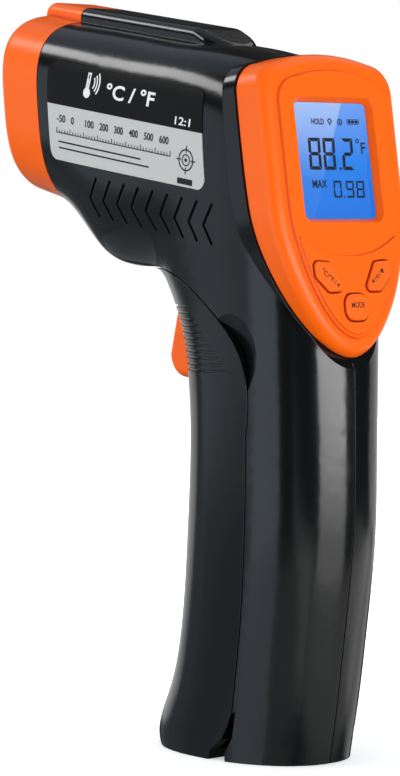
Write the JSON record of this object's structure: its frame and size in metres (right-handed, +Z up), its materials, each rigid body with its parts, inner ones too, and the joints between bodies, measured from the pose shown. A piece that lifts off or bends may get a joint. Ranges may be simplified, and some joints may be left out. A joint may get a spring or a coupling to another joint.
{
  "type": "infrared thermometer",
  "caption": "Pistol-grip non-contact thermometer with a sighting nose, tilted backlit display, three keys, finger trigger and a front-opening battery grip.",
  "frame": {"origin": "centre line of the flat base of the grip, below the middle of the grip", "axes": "+Z up along the grip, -X toward the sighting nose, +X toward the user and the display, +Y to the user's left seen from behind the display"},
  "size_m": [0.0939, 0.0386, 0.1567],
  "materials": {
    "shell_black": "satin moulded, dark charcoal",
    "door_black": "satin moulded, dark charcoal",
    "orange_plastic": "satin moulded orange",
    "key_orange": "satin moulded orange with dark printed legends",
    "trigger_orange": "satin moulded orange",
    "plate_black": "matt black",
    "infrared_lens": "polished dark infrared-passing lens",
    "nickel_can": "nickel-plated can",
    "board_green": "solder-masked circuit board",
    "laser_brass": "turned brass",
    "holder_grey": "grey moulded plastic",
    "laser_glass": "clear red-tinted window",
    "screen_clear": "clear polished window",
    "lcd_glass": "blue backlit display with black segments",
    "backlight_white": "milky light guide",
    "seal_rubber": "matt rubber",
    "screw_steel": "zinc-plated",
    "chip_black": "moulded epoxy",
    "switch_black": "moulded",
    "pin_steel": "ground steel",
    "spring_steel": "drawn spring wire",
    "battery_can": "printed metal jacket, plain",
    "snap_black": "soft vinyl",
    "foam_grey": "open-cell foam",
    "socket_white": "moulded nylon",
    "lead_red": "insulated wire",
    "lead_black": "insulated wire",
    "buzzer_brass": "brass disc",
    "label_film": "two-tone printed film, near-black upper band, light grey field",
    "label_grey": "plain light grey film"
  },
  "bodies": {
    "housing": {"left_shell": "shell_black", "right_shell": "shell_black", "nose_ring": "orange_plastic", "display_bezel": "orange_plastic", "front_plate": "plate_black", "lens_barrel": "plate_black", "ir_lens": "infrared_lens", "thermopile_sensor": "nickel_can", "sensor_board": "board_green", "laser_module": "laser_brass", "laser_holder": "holder_grey", "laser_window": "laser_glass", "screen_window": "screen_clear", "lcd_module": "lcd_glass", "backlight_panel": "backlight_white", "zebra_connectors": "seal_rubber", "main_board": "board_green", "board_screws": "screw_steel", "controller_chip": "chip_black", "board_parts": "chip_black", "key_switches": "switch_black", "keypad_seal": "seal_rubber", "trigger_pin": "pin_steel", "trigger_carrier": "holder_grey", "trigger_switch": "switch_black", "trigger_spring": "spring_steel", "hinge_pin": "pin_steel", "battery_9v": "battery_can", "battery_snap": "snap_black", "battery_tray": "holder_grey", "battery_connector": "socket_white", "battery_lead_red": "lead_red", "battery_lead_black": "lead_black", "piezo_buzzer": "buzzer_brass", "case_screws": "screw_steel", "side_label_left": "label_film", "side_label_right": "label_grey"},
    "door": {"battery_door": "door_black", "battery_foam_pad": "foam_grey"},
    "trigger": {"trigger": "trigger_orange"},
    "left_key": {"button_left": "key_orange"},
    "right_key": {"button_right": "key_orange"},
    "mode_key": {"button_mode": "key_orange"}
  },
  "joints": [
    {"name": "trigger_pull", "type": "hinge", "parent": "housing", "child": "trigger", "pos_m": [-0.011, 0, 0.0925], "axis": [0, -1, 0], "range_deg": [0, 8], "stiffness_Nm_per_rad": 0.05, "springref_deg": -5.73},
    {"name": "battery_door_hinge", "type": "hinge", "parent": "housing", "child": "door", "pos_m": [0.005, 0, 0.0095], "axis": [0, -1, 0], "range_deg": [0, 24]},
    {"name": "left_key_press", "type": "slide", "parent": "housing", "child": "left_key", "axis": [-0.9874, 0, -0.1582], "range_m": [0, 0.0008], "stiffness_N_per_m": 300, "springref_m": -0.0004},
    {"name": "right_key_press", "type": "slide", "parent": "housing", "child": "right_key", "axis": [-0.9874, 0, -0.1582], "range_m": [0, 0.0008], "stiffness_N_per_m": 300, "springref_m": -0.0004},
    {"name": "mode_key_press", "type": "slide", "parent": "housing", "child": "mode_key", "axis": [-0.9874, 0, -0.1582], "range_m": [0, 0.0008], "stiffness_N_per_m": 300, "springref_m": -0.0004}
  ]
}
